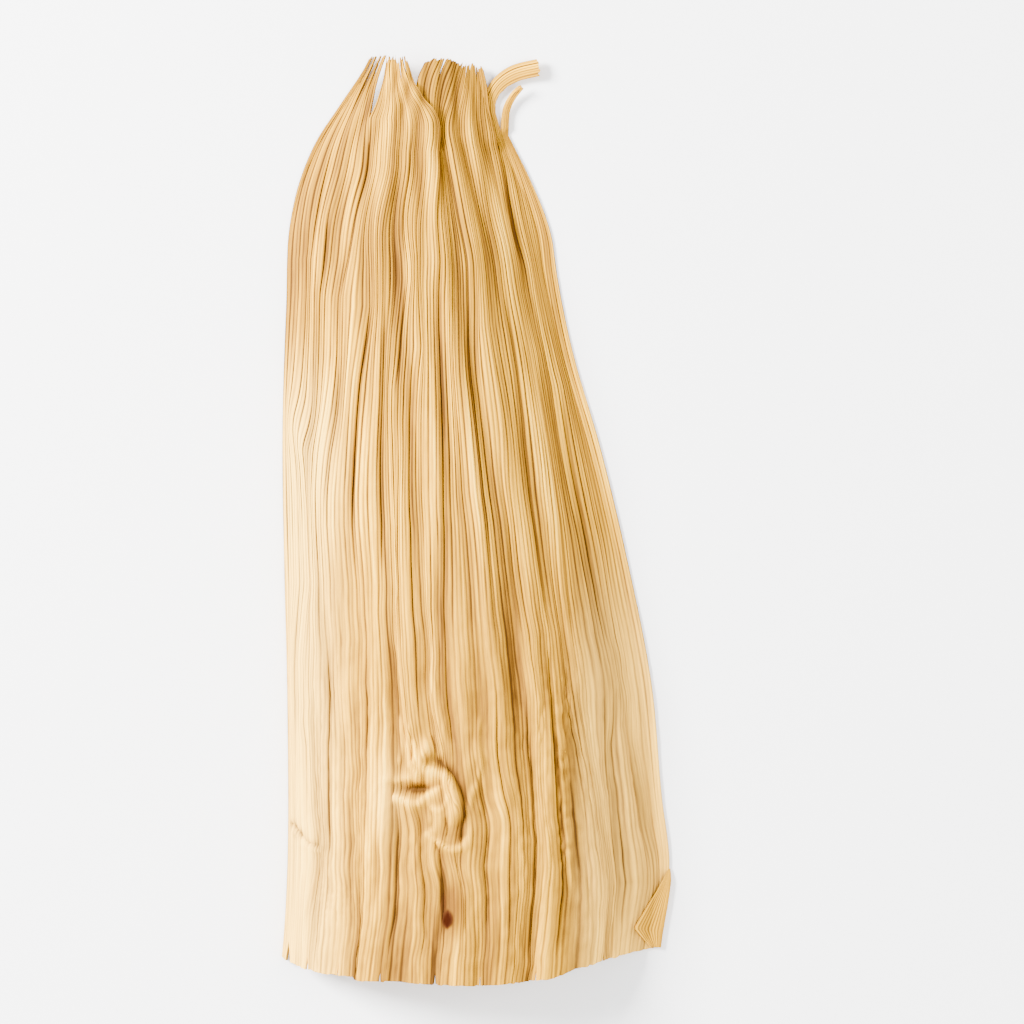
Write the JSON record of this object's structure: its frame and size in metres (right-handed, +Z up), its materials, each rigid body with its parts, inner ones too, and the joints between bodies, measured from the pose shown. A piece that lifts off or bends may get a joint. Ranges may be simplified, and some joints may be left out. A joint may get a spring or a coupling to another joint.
{
  "type": "dried corn husk",
  "caption": "Large dried corn husk leaf, lying on its side margins as a low ribbed arch, with a straight cut base, one folded corner and a torn tip.",
  "frame": {"origin": "on the surface the husk lies on, under the middle of its bounding box", "axes": "+Y along the veins from the cut base to the torn tip, +X across the leaf to the folded corner's side, +Z up through the crest of the arch, away from the surface"},
  "size_m": [0.1108, 0.2614, 0.0246],
  "materials": {
    "straw": "matte"
  },
  "bodies": {
    "root": {"husk": "straw"}
  },
  "joints": []
}
